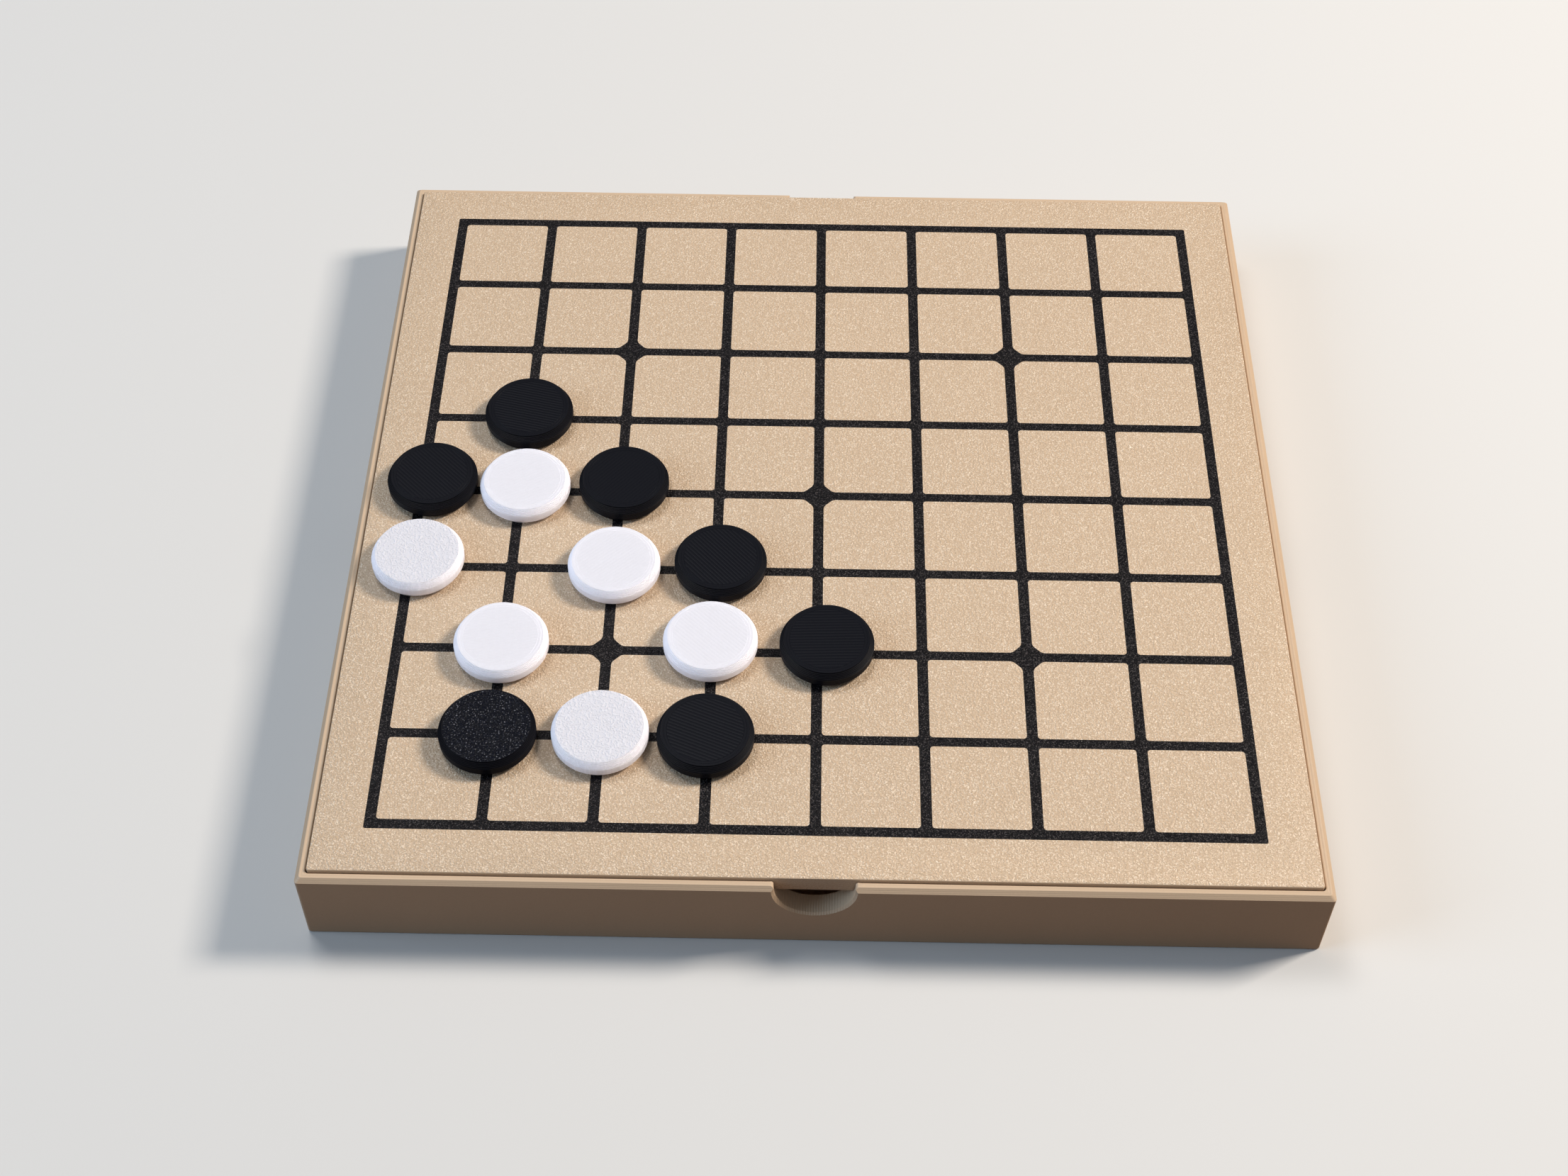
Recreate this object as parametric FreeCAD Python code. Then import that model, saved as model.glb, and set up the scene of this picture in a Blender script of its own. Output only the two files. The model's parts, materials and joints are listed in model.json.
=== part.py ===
import FreeCAD, Part
import os

from FreeCAD import Vector

# A nine-line go set in printed plastic. A lift-off board lies in the rim of a square case, and two drawers
# under it slide out to the left and to the right, one with the black stones and one with the white.
# Millimetres, +Z up. The origin is at the middle of the case's underside, +Y points away from the
# player who sits in front, and +X to that player's right.

# --- driving dimensions: the board and its lines -------------------------------------------------------
lines_per_side = 9
line_spacing = 16.0
board_margin = 8.0          # from the middle of an outer line to the plate's edge
line_width = 1.4
line_depth = 0.6            # how deep the black lines are let into the plate
cell_corner = 0.5           # flat across each corner of a cell
star_reach = 2.6            # from the middle of a star point to its tips
star_line = 2               # the star points stand on the third line in from each side
plate_thickness = 3.0
plate_corner_radius = 0.4
plate_edge_bevel = 0.2
plate_clearance = 0.2       # gap between the plate and the rim, all round
plate_proud = 0.5           # how far the plate stands above the rim

# --- driving dimensions: the case ----------------------------------------------------------------------
case_height = 13.9
floor_thickness = 1.4
rim_width = 1.4             # wall beside the plate
ledge_width = 1.8           # step under the plate's edge
lintel_height = 1.6         # bar under the plate's edge, over each drawer
rim_bevel = 0.7
foot_bevel = 0.3
case_corner_radius = 0.5
well_width = 14.0           # finger space under the middle of the board
rib_thickness = 1.6         # two ribs that carry the board's middle and close the drawer bays

# --- driving dimensions: the half-round finger notches -------------------------------------------------
notch_radius = 5.8
notch_depth = 6.4           # below the rim
notch_lip_radius = 0.5
notch_bevel = 0.35
pull_depth = 4.8            # the drawers have the same notch, less deep

# --- driving dimensions: the drawers -------------------------------------------------------------------
drawer_wall = 1.4
drawer_front = 3.2
drawer_floor = 1.2
drawer_side_gap = 0.3
drawer_under_gap = 0.2
drawer_over_gap = 0.3       # below the lintel
drawer_end_gap = 0.4        # in front of the rib
drawer_corner_radius = 1.2
drawer_front_bevel = 0.4
stop_tab_width = 14.0       # two tabs on the rear wall catch the lintel, so a drawer can't be pulled out
stop_tab_gap = 0.4          # between the tabs and the plate

# --- driving dimensions: the stones --------------------------------------------------------------------
stone_play = 1.6            # room between two stones on neighbouring points
stone_thickness = 3.2
stone_bevel_width = 0.7
stone_bevel_height = 1.05
stone_facets = 32           # flats round a stone on the board
stored_facets = 20          # flats round a stone in a drawer, which is drawn plainer
stored_gap = 0.4            # least room between two stones in a drawer
black_stones_in_set = 41
white_stones_in_set = 40

# The stones on the board, as (line from the left, line from the front, shift to the right, shift back).
# Hands leave stones a little off their points: the shifts are shares of the play between stones.
black_on_board = [
    (1, 5, 0.10, -0.20),
    (0, 4, 1.20, 0.50),
    (2, 4, 0.45, 0.40),
    (3, 3, 0.50, 0.20),
    (4, 2, 0.92, 0.30),
    (1, 1, -0.27, -0.42),
    (3, 1, -0.18, -0.45),
]
white_on_board = [
    (1, 4, 0.56, -0.10),
    (0, 3, 0.90, 0.30),
    (2, 3, 0.12, -0.30),
    (1, 2, 0.04, -0.05),
    (3, 2, -0.14, 0.50),
    (2, 1, 0.10, -0.28),
]

# --- sizes that follow ---------------------------------------------------------------------------------
plate_side = (lines_per_side - 1) * line_spacing + 2 * board_margin
recess_side = plate_side + 2 * plate_clearance
case_side = recess_side + 2 * rim_width
wall = rim_width + ledge_width
bay_width = case_side - 2 * wall
plate_top = case_height + plate_proud
plate_bottom = plate_top - plate_thickness
lintel_bottom = plate_bottom - lintel_height
rib_face = well_width / 2 + rib_thickness
lintel_face = case_side / 2 - wall

drawer_rear = rib_face + drawer_end_gap
drawer_width = bay_width - 2 * drawer_side_gap
drawer_bottom = floor_thickness + drawer_under_gap
drawer_top = lintel_bottom - drawer_over_gap
tray_floor = drawer_bottom + drawer_floor
tray_rear = drawer_rear + drawer_wall
tray_front = case_side / 2 - drawer_front
tray_width = drawer_width - 2 * drawer_wall

stone_diameter = line_spacing - stone_play
stone_radius = stone_diameter / 2

OVERRUN = 2.0               # how far a cutter runs past the face it cuts through
HAIR = 0.001                # edges and faces nearer than this are at one height


# --- shared helpers ------------------------------------------------------------------------------------
def block(x_low, x_high, y_low, y_high, z_low, z_high):
    corner = Vector(x_low, y_low, z_low)
    return Part.makeBox(x_high - x_low, y_high - y_low, z_high - z_low, corner)


def centred_block(side_x, side_y, z_low, z_high):
    return block(-side_x / 2, side_x / 2, -side_y / 2, side_y / 2, z_low, z_high)


def upright_edges(shape):
    """Edges of a block that run along Z."""
    return [e for e in shape.Edges if e.BoundBox.ZLength > e.Length - HAIR]


def level_edges(shape, height):
    """Edges that lie flat at one height."""
    return [e for e in shape.Edges if e.BoundBox.ZLength < HAIR and abs(e.BoundBox.ZMax - height) < HAIR]


def rounded_block(side_x, side_y, z_low, z_high, radius):
    plain = centred_block(side_x, side_y, z_low, z_high)
    return plain.makeFillet(radius, upright_edges(plain))


def half_round_notch(top, depth, face, wall_depth, lip_radius):
    """Cutter for a finger notch through a wall that faces -Y: a half-round with a bevelled rim.

    The wall's outer face is at y = -face, and the notch runs wall_depth into it. Its upper corners flare
    out by lip_radius.
    """
    centre_height = top - depth + notch_radius
    outside = -face - OVERRUN
    inside = -face + wall_depth
    length = inside - outside
    along = Vector(0, 1, 0)

    bowl = Part.makeCylinder(notch_radius, length, Vector(0, outside, centre_height), along)
    shaft = block(-notch_radius, notch_radius, outside, inside, centre_height, top + notch_radius)
    pieces = [shaft]

    if lip_radius > 0:
        lip_reach = notch_radius + lip_radius
        lips = block(-lip_reach, lip_reach, outside, inside, top - lip_radius, top + OVERRUN)
        for side in (-1, 1):
            lip_centre = Vector(side * lip_reach, outside, top - lip_radius)
            lips = lips.cut(Part.makeCylinder(lip_radius, length, lip_centre, along))
        pieces.append(lips)

    # the bevel: a cone round the arc and a wedge up each side
    wide = notch_radius + notch_bevel
    pieces.append(Part.makeCone(wide, notch_radius, notch_bevel, Vector(0, -face, centre_height), along))
    plan = Part.makePolygon([
        Vector(-wide, -face, centre_height),
        Vector(wide, -face, centre_height),
        Vector(notch_radius, -face + notch_bevel, centre_height),
        Vector(-notch_radius, -face + notch_bevel, centre_height),
        Vector(-wide, -face, centre_height),
    ])
    pieces.append(Part.Face(plan).extrude(Vector(0, 0, depth)))
    return bowl.fuse(pieces).removeSplitter()


def turned(shape, degrees):
    copy = shape.copy()
    copy.rotate(Vector(0, 0, 0), Vector(0, 0, 1), degrees)
    return copy


def crossing(column, row):
    """Place of a line crossing on the plate, counted from the front left corner."""
    middle = (lines_per_side - 1) / 2
    return Vector((column - middle) * line_spacing, (row - middle) * line_spacing, 0)


# --- the case ------------------------------------------------------------------------------------------
def case():
    body = centred_block(case_side, case_side, 0, case_height)
    body = body.makeChamfer(rim_bevel, level_edges(body, case_height))
    body = body.makeChamfer(foot_bevel, level_edges(body, 0))
    body = body.common(rounded_block(case_side, case_side, 0, case_height, case_corner_radius))

    recess_radius = plate_corner_radius + plate_clearance
    recess = rounded_block(recess_side, recess_side, plate_bottom, case_height + OVERRUN, recess_radius)
    well = centred_block(well_width, bay_width, floor_thickness, plate_bottom + OVERRUN)
    body = body.cut([recess, well])

    half_bay = bay_width / 2
    mouth = block(rib_face, case_side / 2 + OVERRUN, -half_bay, half_bay, floor_thickness, lintel_bottom)
    bay = block(rib_face, lintel_face, -half_bay, half_bay, floor_thickness, plate_bottom + OVERRUN)
    notch = half_round_notch(case_height, notch_depth, case_side / 2, wall + OVERRUN, notch_lip_radius)
    for turn in (0, 180):
        body = body.cut([turned(mouth, turn), turned(bay, turn), turned(notch, turn)])
    return body.removeSplitter()


# --- the board -----------------------------------------------------------------------------------------
def is_star(column, row):
    far_line = lines_per_side - 1 - star_line
    middle_line = (lines_per_side - 1) / 2
    on_corner = column in (star_line, far_line) and row in (star_line, far_line)
    return on_corner or (column == middle_line and row == middle_line)


def cell_face(column, row, height):
    """The bare plate between four crossings. Its corners are cut off, more deeply beside a star point."""
    half_line = line_width / 2
    low = crossing(column, row)
    high = crossing(column + 1, row + 1)
    corners = [
        (low.x + half_line, low.y + half_line, 1, 1, is_star(column, row)),
        (high.x - half_line, low.y + half_line, -1, 1, is_star(column + 1, row)),
        (high.x - half_line, high.y - half_line, -1, -1, is_star(column + 1, row + 1)),
        (low.x + half_line, high.y - half_line, 1, -1, is_star(column, row + 1)),
    ]
    points = []
    for index, (x, y, inward_x, inward_y, star) in enumerate(corners):
        leg = star_reach - line_width if star else cell_corner
        pair = [Vector(x, y + inward_y * leg, height), Vector(x + inward_x * leg, y, height)]
        points += pair if index % 2 == 0 else pair[::-1]
    return Part.makePolygon(points + points[:1])


def grid_inlay():
    """Black lines and star points, one sheet of plastic let into the plate flush with its top."""
    bottom = plate_top - line_depth
    reach = (lines_per_side - 1) * line_spacing / 2 + line_width / 2
    outline = Part.makePolygon([
        Vector(-reach, -reach, bottom),
        Vector(reach, -reach, bottom),
        Vector(reach, reach, bottom),
        Vector(-reach, reach, bottom),
        Vector(-reach, -reach, bottom),
    ])
    cells = range(lines_per_side - 1)
    openings = [cell_face(column, row, bottom) for column in cells for row in cells]
    sheet = Part.makeFace([outline] + openings, "Part::FaceMakerBullseye")
    return sheet.extrude(Vector(0, 0, line_depth))


def board_plate(inlay):
    plate = rounded_block(plate_side, plate_side, plate_bottom, plate_top, plate_corner_radius)
    plate = plate.makeChamfer(plate_edge_bevel, level_edges(plate, plate_top))
    return plate.cut(inlay)


# --- the drawers ---------------------------------------------------------------------------------------
def right_drawer():
    half_width = drawer_width / 2
    front_face = case_side / 2
    tray = block(drawer_rear, front_face, -half_width, half_width, drawer_bottom, drawer_top)
    front_edges = [e for e in tray.Edges if e.BoundBox.XMin > front_face - HAIR]
    tray = tray.makeChamfer(drawer_front_bevel, front_edges)

    half_tray = tray_width / 2
    hollow = block(tray_rear, tray_front, -half_tray, half_tray, tray_floor, drawer_top + OVERRUN)
    hollow = hollow.makeFillet(drawer_corner_radius, upright_edges(hollow))
    pull = half_round_notch(drawer_top, pull_depth, front_face, drawer_front + OVERRUN, 0)
    tray = tray.cut([hollow, turned(pull, 90)])

    tab_top = plate_bottom - stop_tab_gap
    for side in (-1, 1):
        inner = side * (half_width - stop_tab_width)
        outer = side * half_width
        low, high = sorted((inner, outer))
        tray = tray.fuse(block(drawer_rear, tray_rear, low, high, drawer_top, tab_top))
    return tray.removeSplitter()


# --- the stones ----------------------------------------------------------------------------------------
def faceted_disc(section, facets):
    """A solid of flat faces round the Z axis, through the (radius, height) points of its section."""
    rings = []
    for radius, height in section:
        circle = Part.makeCircle(radius, Vector(0, 0, height))
        rings.append(circle.discretize(facets + 1)[:-1] * 2)
    faces = [Part.Face(Part.makePolygon(end[:facets + 1])) for end in (rings[0], rings[-1])]
    for lower, upper in zip(rings, rings[1:]):
        for i in range(facets):
            corners = [lower[i], lower[i + 1], upper[i + 1], upper[i], lower[i]]
            faces.append(Part.Face(Part.makePolygon(corners)))
    return Part.makeSolid(Part.makeShell(faces))


def bevelled_stone():
    """A flat disc with the same bevel above and below, resting on z = 0."""
    flat_radius = stone_radius - stone_bevel_width
    section = [
        (flat_radius, 0),
        (stone_radius, stone_bevel_height),
        (stone_radius, stone_thickness - stone_bevel_height),
        (flat_radius, stone_thickness),
    ]
    return faceted_disc(section, stone_facets)


def plain_stone():
    return faceted_disc([(stone_radius, 0), (stone_radius, stone_thickness)], stored_facets)


def stone_on_board(column, row, shift_right, shift_back):
    place = crossing(column, row)
    shift = Vector(shift_right * stone_play, shift_back * stone_play, plate_top)
    stone = bevelled_stone()
    stone.translate(place + shift)
    return stone


def stones_in_right_drawer(count):
    """Stones in even rows on the tray's floor, filled from the rear."""
    rows = int((tray_front - tray_rear - stored_gap) // (stone_diameter + stored_gap))
    columns = int((tray_width - stored_gap) // (stone_diameter + stored_gap))
    row_gap = (tray_front - tray_rear - rows * stone_diameter) / (rows + 1)
    column_gap = (tray_width - columns * stone_diameter) / (columns + 1)
    stones = []
    for index in range(min(count, rows * columns)):
        row, column = divmod(index, columns)
        x = tray_rear + row_gap + stone_radius + row * (stone_diameter + row_gap)
        y = -tray_width / 2 + column_gap + stone_radius + column * (stone_diameter + column_gap)
        stone = plain_stone()
        stone.translate(Vector(x, y, tray_floor))
        stones.append(stone)
    return Part.makeCompound(stones)


# --- the whole set -------------------------------------------------------------------------------------
def build():
    inlay = grid_inlay()
    drawer = right_drawer()
    black_stored = stones_in_right_drawer(black_stones_in_set - len(black_on_board))
    white_stored = stones_in_right_drawer(white_stones_in_set - len(white_on_board))
    nodes = {
        "case": case(),
        "board_plate": board_plate(inlay),
        "grid_inlay": inlay,
        "right_drawer": drawer,
        "left_drawer": turned(drawer, 180),
        "black_stones_in_right_drawer": black_stored,
        "white_stones_in_left_drawer": turned(white_stored, 180),
    }
    for number, place in enumerate(black_on_board, 1):
        nodes[f"black_stone_{number}"] = stone_on_board(*place)
    for number, place in enumerate(white_on_board, 1):
        nodes[f"white_stone_{number}"] = stone_on_board(*place)
    return nodes


os.makedirs("parts", exist_ok=True)
for name, shape in build().items():
    box = shape.BoundBox
    print(f"{name}: {len(shape.Solids)} solids, valid {shape.isValid()}, volume {shape.Volume:.1f}, "
          f"z {box.ZMin:.2f} to {box.ZMax:.2f}")
    shape.exportStep(f"parts/{name}.step")

drawer_travel = lintel_face - tray_rear
print(f"case {case_side:.2f} square, plate {plate_side:.2f}, plate top {plate_top:.2f}")
print(f"a drawer slides {drawer_travel:.2f} before its tabs meet the lintel")
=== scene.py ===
# %% [markdown]
# # A nine-line go set, printed in plastic
#
# The set is a square case with a board that lifts off, two drawers for the stones, and thirteen stones in
# play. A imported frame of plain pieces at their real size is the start. Here each piece is modelled again
# over its plain one, with soft edges, the steps that a printer leaves, and a finish of its own.

# %% Load the frame
import json
import random
from math import cos, pi, radians, sin

import bpy
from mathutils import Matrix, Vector

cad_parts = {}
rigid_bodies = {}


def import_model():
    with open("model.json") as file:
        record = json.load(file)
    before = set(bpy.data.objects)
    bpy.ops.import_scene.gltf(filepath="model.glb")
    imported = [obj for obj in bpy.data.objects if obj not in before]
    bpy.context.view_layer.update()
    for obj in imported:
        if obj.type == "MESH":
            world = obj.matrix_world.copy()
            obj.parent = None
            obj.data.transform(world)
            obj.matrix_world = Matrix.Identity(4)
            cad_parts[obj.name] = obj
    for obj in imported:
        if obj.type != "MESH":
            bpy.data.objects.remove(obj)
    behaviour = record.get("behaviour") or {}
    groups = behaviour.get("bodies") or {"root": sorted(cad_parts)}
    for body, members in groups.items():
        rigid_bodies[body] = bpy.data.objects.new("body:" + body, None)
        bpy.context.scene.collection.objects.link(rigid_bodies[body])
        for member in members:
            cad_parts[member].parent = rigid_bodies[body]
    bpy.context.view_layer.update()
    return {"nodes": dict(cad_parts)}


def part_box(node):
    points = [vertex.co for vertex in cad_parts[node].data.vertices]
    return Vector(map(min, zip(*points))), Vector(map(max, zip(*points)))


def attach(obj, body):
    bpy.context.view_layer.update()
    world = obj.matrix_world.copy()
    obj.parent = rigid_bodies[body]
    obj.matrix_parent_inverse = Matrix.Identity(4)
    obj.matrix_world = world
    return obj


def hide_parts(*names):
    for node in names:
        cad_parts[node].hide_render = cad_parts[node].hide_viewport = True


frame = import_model()

# %% [markdown]
# ## Measures
#
# Blender works in metres, and this set is made of millimetres, so one name turns the one into the other.
# Heights and outlines are read from the frame. Only what a plain piece can't tell, such as the width of a
# bevel or of a printed line, is written here.

# %% Measures of the set
MM = 0.001
HAIR = 0.01 * MM                # places nearer than this are the same place
OVERRUN = 2 * MM                # how far a cutter runs past the face it cuts through
SOFT_EDGE = 0.12 * MM           # width of the round on a printed edge

case_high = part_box("case")[1]
plate_low, plate_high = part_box("board_plate")
lines_low, lines_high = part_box("grid_inlay")
drawer_low, drawer_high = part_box("right_drawer")
stored_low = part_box("black_stones_in_right_drawer")[0]
stone_low, stone_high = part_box("black_stone_1")

LINES_PER_SIDE = 9
PLAIN_LINE_WIDTH = 1.4 * MM     # in the frame's plain sheet of lines, where they are a little too fine
LINE_WIDTH = 1.65 * MM
line_reach = lines_high.x - PLAIN_LINE_WIDTH / 2
line_spacing = 2 * line_reach / (LINES_PER_SIDE - 1)
print(f"case {case_high.x * 2 / MM:.1f} mm square, lines {line_spacing / MM:.1f} mm apart")

# %% [markdown]
# ## Working by hand, in code
#
# In Blender's window you would click on a face or an edge and then use a tool on it. A script has no mouse,
# so it selects by place. Each of these helpers stands for one habit of the hand: let go of everything,
# take hold of one piece, pick some of its faces or edges, and put the tool down again.

# %% Selecting
def deselect_all():
    """Leave edit mode and let go of every object."""
    active = bpy.context.object
    if active is not None and active.mode == "EDIT":
        bpy.ops.object.mode_set(mode="OBJECT")
    bpy.ops.object.select_all(action="DESELECT")


def take(piece):
    """Select one object and make it the one that the tools work on."""
    deselect_all()
    piece.select_set(True)
    bpy.context.view_layer.objects.active = piece


def pick(piece, kind, rule):
    """Open a piece for editing, with those of its faces, edges or points selected that a rule accepts.

    The rule is asked with the lowest and the highest corner of each face, edge or point.
    """
    take(piece)
    bpy.ops.object.mode_set(mode="EDIT")
    bpy.ops.mesh.select_mode(type=kind)
    bpy.ops.mesh.select_all(action="DESELECT")
    bpy.ops.object.mode_set(mode="OBJECT")
    mesh = piece.data
    items = {"FACE": mesh.polygons, "EDGE": mesh.edges, "VERT": mesh.vertices}[kind]
    count = 0
    for item in items:
        corners = [item.co] if kind == "VERT" else [mesh.vertices[i].co for i in item.vertices]
        low = Vector(map(min, *corners)) if len(corners) > 1 else corners[0]
        high = Vector(map(max, *corners)) if len(corners) > 1 else corners[0]
        item.select = bool(rule(low, high))
        count += item.select
    bpy.ops.object.mode_set(mode="EDIT")
    return count


# %% [markdown]
# A new object stands somewhere, turned and scaled in some way. The finishes below are patterns in space,
# and they only stay put when each object stands at the origin, unturned, with its place in its mesh.
# Applying the transform does that.

# %% Blocks and cuts
def keep_place_in_mesh(piece):
    take(piece)
    bpy.ops.object.transform_apply(location=True, rotation=True, scale=True)


def add_block(name, low, high):
    """A block between two corners."""
    low, high = Vector(low), Vector(high)
    deselect_all()
    bpy.ops.mesh.primitive_cube_add(size=1, location=(low + high) / 2, scale=high - low)
    block = bpy.context.object
    block.name = name
    keep_place_in_mesh(block)
    return block


def round_upright_edges(piece, radius, segments=6):
    pick(piece, "EDGE", lambda low, high: (high.xy - low.xy).length < HAIR)
    bpy.ops.mesh.bevel(offset=radius, segments=segments, affect="EDGES")
    deselect_all()


def cut(piece, *cutters):
    """Take the cutters' shapes out of the piece, and throw the cutters away."""
    for cutter in cutters:
        take(piece)
        bpy.ops.object.modifier_add(type="BOOLEAN")
        modifier = piece.modifiers[-1]
        modifier.operation = "DIFFERENCE"
        modifier.solver = "EXACT"
        modifier.object = cutter
        bpy.ops.object.modifier_apply(modifier=modifier.name)
        bpy.data.objects.remove(cutter)
    pick(piece, "FACE", lambda low, high: True)
    bpy.ops.mesh.dissolve_degenerate(threshold=HAIR / 10)
    deselect_all()


def soften(piece, rule):
    """Break some square edges with a small round, because a nozzle can't draw a perfect corner."""
    pick(piece, "EDGE", rule)
    bpy.ops.mesh.bevel(offset=SOFT_EDGE, segments=2, affect="EDGES", clamp_overlap=False)
    deselect_all()


def smooth_small_turns(piece, degrees):
    """Shade round parts as round, and leave an edge wherever faces turn by more than this."""
    take(piece)
    bpy.ops.object.shade_smooth_by_angle(angle=radians(degrees))
    print(piece.name, "has", len(piece.data.polygons), "faces")


def copy_of(piece, name):
    """A second object with a mesh of its own."""
    copy = bpy.data.objects.new(name, piece.data.copy())
    bpy.context.scene.collection.objects.link(copy)
    return copy


# %% [markdown]
# ## The case
#
# The case is one print. It starts as a block, a little lower than the real one. The top is then grown layer
# by layer, each a little smaller than the one below, because that is how a printer makes a sloping edge.
# Extruding a face and shrinking it does both at once. Each layer has a steeper foot and a flatter
# shoulder, so the slope is faintly ribbed.

# %% The block and its layered rim
NOTCHED_TURN = 14               # degrees, above the turns between the flats of a notch
CASE_CORNER = 0.5 * MM
FOOT_BEVEL = 0.3 * MM
RIM_BEVEL = 0.62 * MM
RIM_LAYERS = 4
FOOT_OF_LAYER = 0.53            # share of a layer's height that its steeper foot takes


def raise_face(height, inward, half_width):
    """Extrude the selected face upwards, and move its sides inward from half_width. Returns the new half."""
    bpy.ops.mesh.extrude_region_move(TRANSFORM_OT_translate={"value": (0, 0, height)})
    share = (half_width - inward) / half_width
    bpy.ops.transform.resize(value=(share, share, 1), center_override=(0, 0, 0))
    return half_width - inward


half = case_high.x
case_shell = add_block("case_shell", (-half, -half, 0), (half, half, case_high.z - RIM_BEVEL))
round_upright_edges(case_shell, CASE_CORNER)
pick(case_shell, "EDGE", lambda low, high: high.z < HAIR)
bpy.ops.mesh.bevel(offset=FOOT_BEVEL, segments=3, affect="EDGES")

pick(case_shell, "FACE", lambda low, high: low.z > case_high.z - RIM_BEVEL - HAIR)
rise = RIM_BEVEL / RIM_LAYERS
reach = half
for layer in range(RIM_LAYERS):
    reach = raise_face(rise * FOOT_OF_LAYER, rise * (1 - FOOT_OF_LAYER), reach)
    reach = raise_face(rise * (1 - FOOT_OF_LAYER), rise * FOOT_OF_LAYER, reach)
deselect_all()
print(f"rim grown in {RIM_LAYERS} layers to {reach / MM:.2f} mm from the middle")

# %% [markdown]
# The inside is cut out of the block. The board needs a recess with a ledge, a finger needs a well under
# the board's middle, and each drawer needs a bay, with a mouth through the side wall. A lintel stays over
# each mouth, so that the board's edge is carried all the way round.

# %% The recess, the well and the drawer bays
PLATE_GAP = 0.2 * MM
PLATE_CORNER = 0.4 * MM
RIM_WIDTH = 1.4 * MM
LEDGE_WIDTH = 1.8 * MM
FLOOR = 1.4 * MM
LINTEL_HEIGHT = 1.6 * MM
WELL_WIDTH = 14 * MM
RIB = 1.6 * MM

wall = RIM_WIDTH + LEDGE_WIDTH
bay = half - wall
rib_face = WELL_WIDTH / 2 + RIB
lintel_bottom = plate_low.z - LINTEL_HEIGHT
recess_half = plate_high.x + PLATE_GAP
above = case_high.z + OVERRUN

recess = add_block("recess", (-recess_half, -recess_half, plate_low.z), (recess_half, recess_half, above))
round_upright_edges(recess, PLATE_CORNER + PLATE_GAP)
well = add_block("well", (-WELL_WIDTH / 2, -bay, FLOOR), (WELL_WIDTH / 2, bay, above))
cut(case_shell, recess, well)

right_bay = add_block("right_bay", (rib_face, -bay, FLOOR), (bay, bay, above))
pick(right_bay, "FACE", lambda low, high: True)
bpy.ops.mesh.bisect(plane_co=(0, 0, lintel_bottom), plane_no=(0, 0, 1))
pick(right_bay, "FACE", lambda low, high: low.x > bay - HAIR and high.z < lintel_bottom + HAIR)
bpy.ops.mesh.extrude_region_move(TRANSFORM_OT_translate={"value": (wall + OVERRUN, 0, 0)})
deselect_all()
left_bay = copy_of(right_bay, "left_bay")
left_bay.rotation_euler.z = pi
keep_place_in_mesh(left_bay)
cut(case_shell, right_bay, left_bay)
print(f"drawer mouths {2 * bay / MM:.1f} mm wide and {(lintel_bottom - FLOOR) / MM:.1f} mm high")

# %% [markdown]
# A finger lifts the board through a half-round notch in the front or back wall. Its cutter starts as the
# lower half of a circle. The ends are extruded up, out to the sides and up again, and the corner between
# is rounded, which gives the notch its soft lips. The outline is drawn too large by the width of the bevel,
# so that a single inset with depth then makes the bevel as it goes into the wall.

# %% A cutter for half-round notches
NOTCH_RADIUS = 5.8 * MM
NOTCH_BEVEL = 0.35 * MM
ROUND = 96                      # flats round a full circle


def half_round_cutter(name, face, top, depth, wall_depth, lip=0):
    """Cuts a notch of this depth into the top of a wall whose outer face is at y = -face."""
    radius = NOTCH_RADIUS + NOTCH_BEVEL
    middle = top - depth + NOTCH_RADIUS
    start = -face - OVERRUN
    deselect_all()
    bpy.ops.mesh.primitive_circle_add(
        vertices=ROUND, radius=radius, location=(0, start, middle), rotation=(radians(90), 0, 0))
    cutter = bpy.context.object
    cutter.name = name
    keep_place_in_mesh(cutter)
    pick(cutter, "VERT", lambda low, high: low.z > middle + HAIR)
    bpy.ops.mesh.delete(type="VERT")

    pick(cutter, "VERT", lambda low, high: low.z > middle - HAIR)
    shoulder = top - NOTCH_BEVEL
    if lip:
        bpy.ops.mesh.extrude_vertices_move(TRANSFORM_OT_translate={"value": (0, 0, shoulder - middle)})
        bpy.ops.mesh.extrude_vertices_move(TRANSFORM_OT_translate={"value": (0, 0, 0)})
        wider = (radius + 2 * lip) / radius
        bpy.ops.transform.resize(value=(wider, 1, 1), center_override=(0, start, shoulder))
        bpy.ops.mesh.extrude_vertices_move(TRANSFORM_OT_translate={"value": (0, 0, 2 * OVERRUN)})
        pick(cutter, "VERT", lambda low, high: abs(abs(low.x) - radius) < HAIR and low.z > shoulder - HAIR)
        bpy.ops.mesh.bevel(offset=lip - NOTCH_BEVEL, segments=4, affect="VERTICES")
    else:
        bpy.ops.mesh.extrude_vertices_move(TRANSFORM_OT_translate={"value": (0, 0, 2 * OVERRUN)})

    bpy.ops.mesh.select_all(action="SELECT")
    bpy.ops.mesh.edge_face_add()
    bpy.ops.mesh.extrude_region_move(TRANSFORM_OT_translate={"value": (0, OVERRUN, 0)})
    bpy.ops.mesh.select_all(action="SELECT")
    bpy.ops.mesh.normals_make_consistent(inside=False)
    pick(cutter, "FACE", lambda low, high: low.y > -face - HAIR)
    bpy.ops.mesh.inset(thickness=NOTCH_BEVEL, depth=NOTCH_BEVEL)
    bpy.ops.mesh.extrude_region_move(TRANSFORM_OT_translate={"value": (0, wall_depth, 0)})
    deselect_all()
    return cutter


# %% Cut the front and the back notch
NOTCH_DEPTH = 6.4 * MM
NOTCH_LIP = 0.5 * MM

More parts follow.
